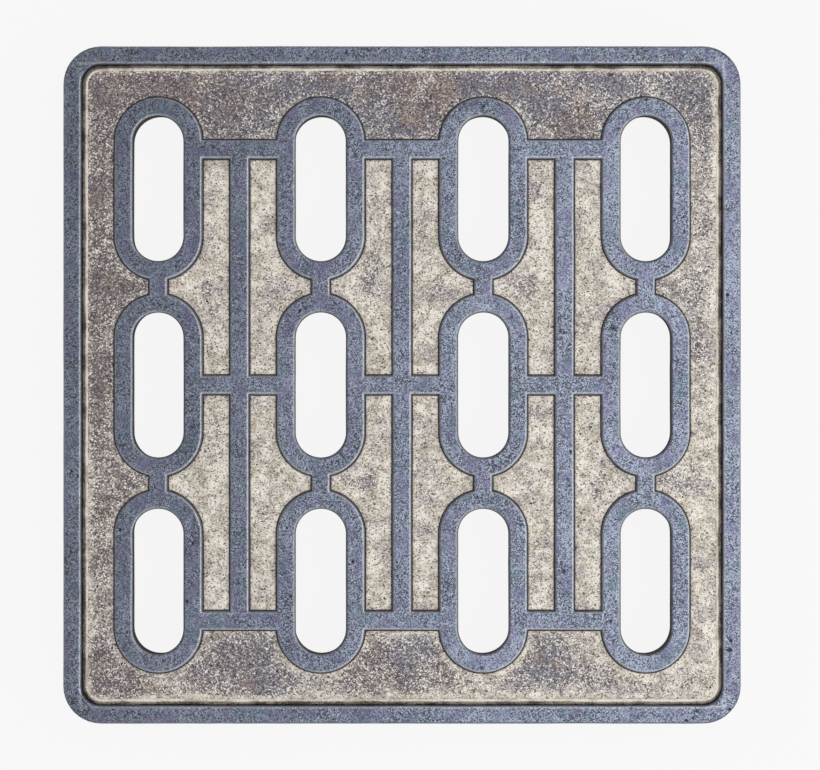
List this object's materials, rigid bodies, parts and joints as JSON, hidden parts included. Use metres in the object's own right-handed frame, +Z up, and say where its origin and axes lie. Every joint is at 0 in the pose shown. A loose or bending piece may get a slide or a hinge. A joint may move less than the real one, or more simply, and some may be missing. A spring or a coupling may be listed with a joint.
{
  "type": "manhole cover",
  "caption": "Square cast-iron drain cover with round-ended slots in a raised ring-and-bar tread, lying loose on rubber pads in a square cast-iron frame.",
  "frame": {"origin": "middle of the frame, on its bedding plane", "axes": "+Z up, square to the bedding plane and the way the cover lifts out; +Y along the slots; +X along the cross bars"},
  "size_m": [0.5, 0.5, 0.075],
  "materials": {
    "frame_iron": "coated grey iron, worn smooth on the band, pitted, dust in the joint",
    "cover_iron": "coated grey iron, worn smooth on the tread, sandy dust in the recessed field",
    "seat_rubber": "matt black solid rubber"
  },
  "bodies": {
    "frame": {"frame": "frame_iron", "seat_pad_front_left": "seat_rubber", "seat_pad_front_right": "seat_rubber", "seat_pad_right_front": "seat_rubber", "seat_pad_right_back": "seat_rubber", "seat_pad_back_right": "seat_rubber", "seat_pad_back_left": "seat_rubber", "seat_pad_left_back": "seat_rubber", "seat_pad_left_front": "seat_rubber"},
    "cover": {"cover": "cover_iron"}
  },
  "joints": [
    {"name": "cover_lift", "type": "slide", "parent": "frame", "child": "cover", "axis": [0, 0, 1], "range_m": [0, 0.12]}
  ]
}
